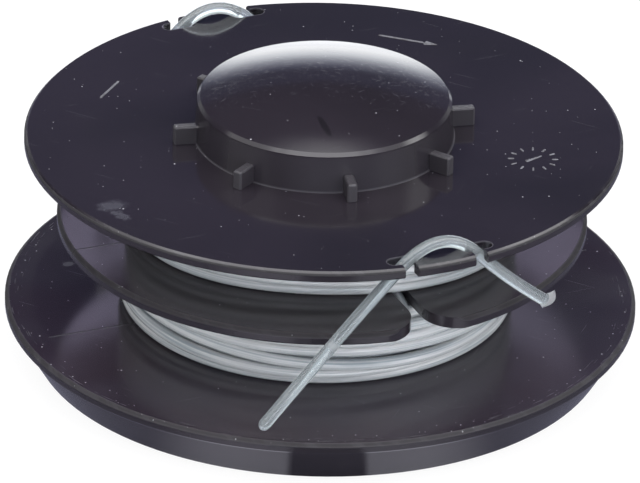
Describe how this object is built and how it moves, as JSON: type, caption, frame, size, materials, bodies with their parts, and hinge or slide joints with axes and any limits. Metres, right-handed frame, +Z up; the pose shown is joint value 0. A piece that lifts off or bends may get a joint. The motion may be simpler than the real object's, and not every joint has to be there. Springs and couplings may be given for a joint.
{
  "type": "trimmer line spool",
  "caption": "Round grass trimmer line spool with a domed bump button, index lugs, a notched top flange, a divider, a skirted lower flange and windings of clear line.",
  "frame": {"origin": "on the spin axis, at the foot of the skirt that the spool rests on", "axes": "+Z up along the spin axis towards the button, -Y towards the viewer of the picture, +X to its right"},
  "size_m": [0.078, 0.0824, 0.036],
  "materials": {
    "black_abs": "moulded black plastic, polished on the flat faces, with fine dust and hairline scratches",
    "clear_line": "clear, slightly bluish extruded nylon line"
  },
  "bodies": {
    "root": {"spool_body": "black_abs", "upper_line_winding": "clear_line", "lower_line_winding": "clear_line", "front_line_end": "clear_line", "rear_line_end": "clear_line"}
  },
  "joints": []
}
